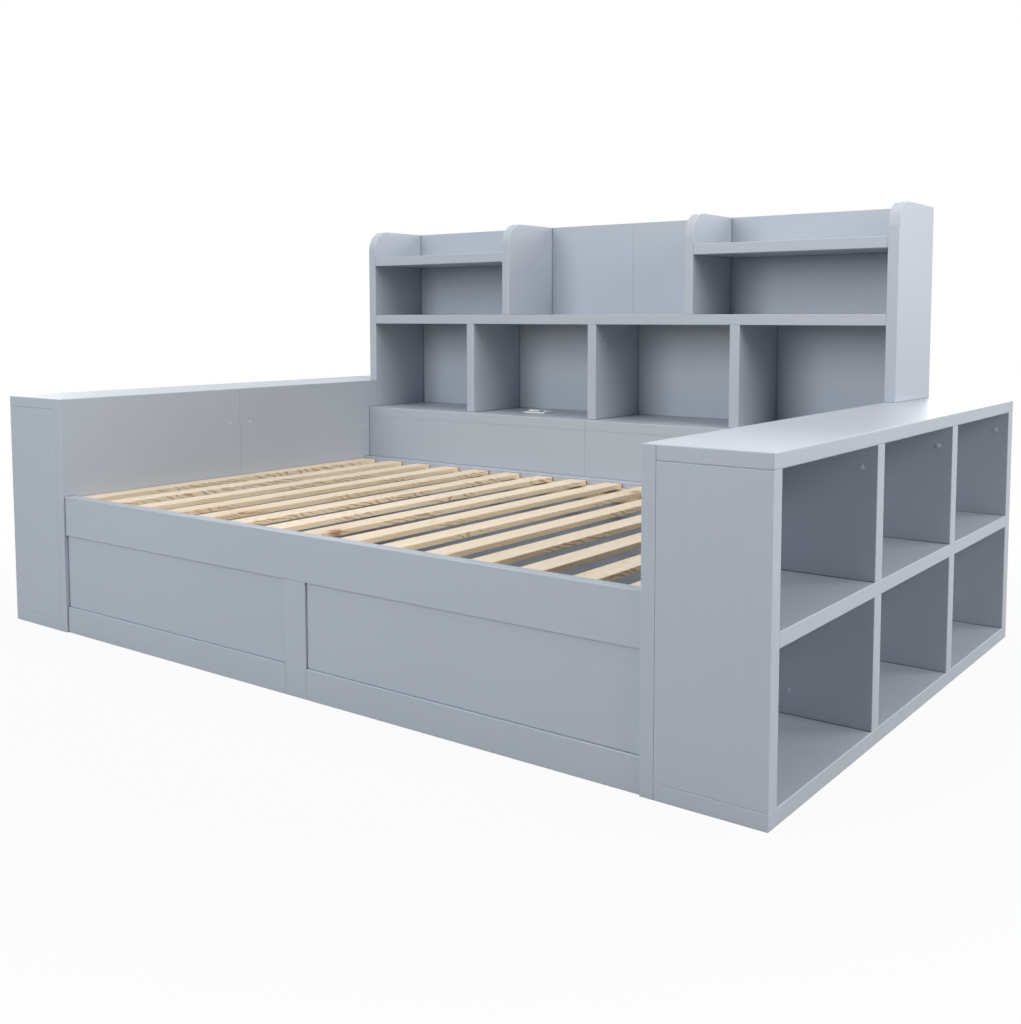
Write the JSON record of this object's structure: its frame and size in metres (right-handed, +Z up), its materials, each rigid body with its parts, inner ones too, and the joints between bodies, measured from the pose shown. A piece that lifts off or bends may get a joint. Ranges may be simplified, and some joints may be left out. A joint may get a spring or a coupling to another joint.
{
  "type": "storage daybed",
  "caption": "Storage daybed with a slatted platform, a cubby cabinet at each end, a raised shelf bookcase along the back and a power unit in its lower shelf.",
  "frame": {"origin": "centre of the footprint, on the floor", "axes": "+X to the right-hand cabinet along the bed's length, +Y from the open front to the bookcase, +Z up"},
  "size_m": [2.463, 1.575, 1.23],
  "materials": {
    "painted_board": "satin paint",
    "slat_pine": "bare planed pine",
    "dowel_wood": "bare",
    "zinc_steel": "zinc plated",
    "cap_plastic": "matte",
    "power_white": "gloss"
  },
  "bodies": {
    "bed": {"barrel_nuts": "zinc_steel", "base_support": "painted_board", "cam_caps": "cap_plastic", "centre_divider": "painted_board", "dowels": "dowel_wood", "front_rail": "painted_board", "front_stile": "painted_board", "left_base_panel": "painted_board", "left_bookcase_side": "painted_board", "left_bottom_rail": "painted_board", "left_cabinet_base": "painted_board", "left_cabinet_end": "painted_board", "left_cabinet_front": "painted_board", "left_cabinet_shelf": "painted_board", "left_cabinet_top": "painted_board", "left_cover_panel": "painted_board", "left_cubby_divider": "painted_board", "left_front_dividers": "painted_board", "left_front_panel": "painted_board", "left_inner_front_panel": "painted_board", "left_inner_rear_panel": "painted_board", "left_lower_back": "painted_board", "left_lower_shelf": "painted_board", "left_middle_shelf": "painted_board", "left_rear_dividers": "painted_board", "left_upper_back": "painted_board", "left_upper_divider": "painted_board", "left_upper_shelf": "painted_board", "power_bezel": "power_white", "power_hinge_pin": "zinc_steel", "power_housing": "power_white", "power_insert": "power_white", "rail_bolts": "zinc_steel", "rear_rail": "painted_board", "right_base_panel": "painted_board", "right_bookcase_side": "painted_board", "right_bottom_rail": "painted_board", "right_cabinet_base": "painted_board", "right_cabinet_end": "painted_board", "right_cabinet_front": "painted_board", "right_cabinet_shelf": "painted_board", "right_cabinet_top": "painted_board", "right_cover_panel": "painted_board", "right_cubby_divider": "painted_board", "right_front_dividers": "painted_board", "right_front_panel": "painted_board", "right_inner_front_panel": "painted_board", "right_inner_rear_panel": "painted_board", "right_lower_back": "painted_board", "right_lower_shelf": "painted_board", "right_middle_shelf": "painted_board", "right_rear_dividers": "painted_board", "right_upper_back": "painted_board", "right_upper_divider": "painted_board", "right_upper_shelf": "painted_board", "slat_ledgers": "slat_pine", "slat_screws": "zinc_steel", "slats": "slat_pine"},
    "lid": {"power_lid": "power_white"}
  },
  "joints": [
    {"name": "power_lid_hinge", "type": "hinge", "parent": "bed", "child": "lid", "pos_m": [-0.318, 0.648, 0.5873], "axis": [-1, 0, 0], "range_deg": [0, 100]}
  ]
}
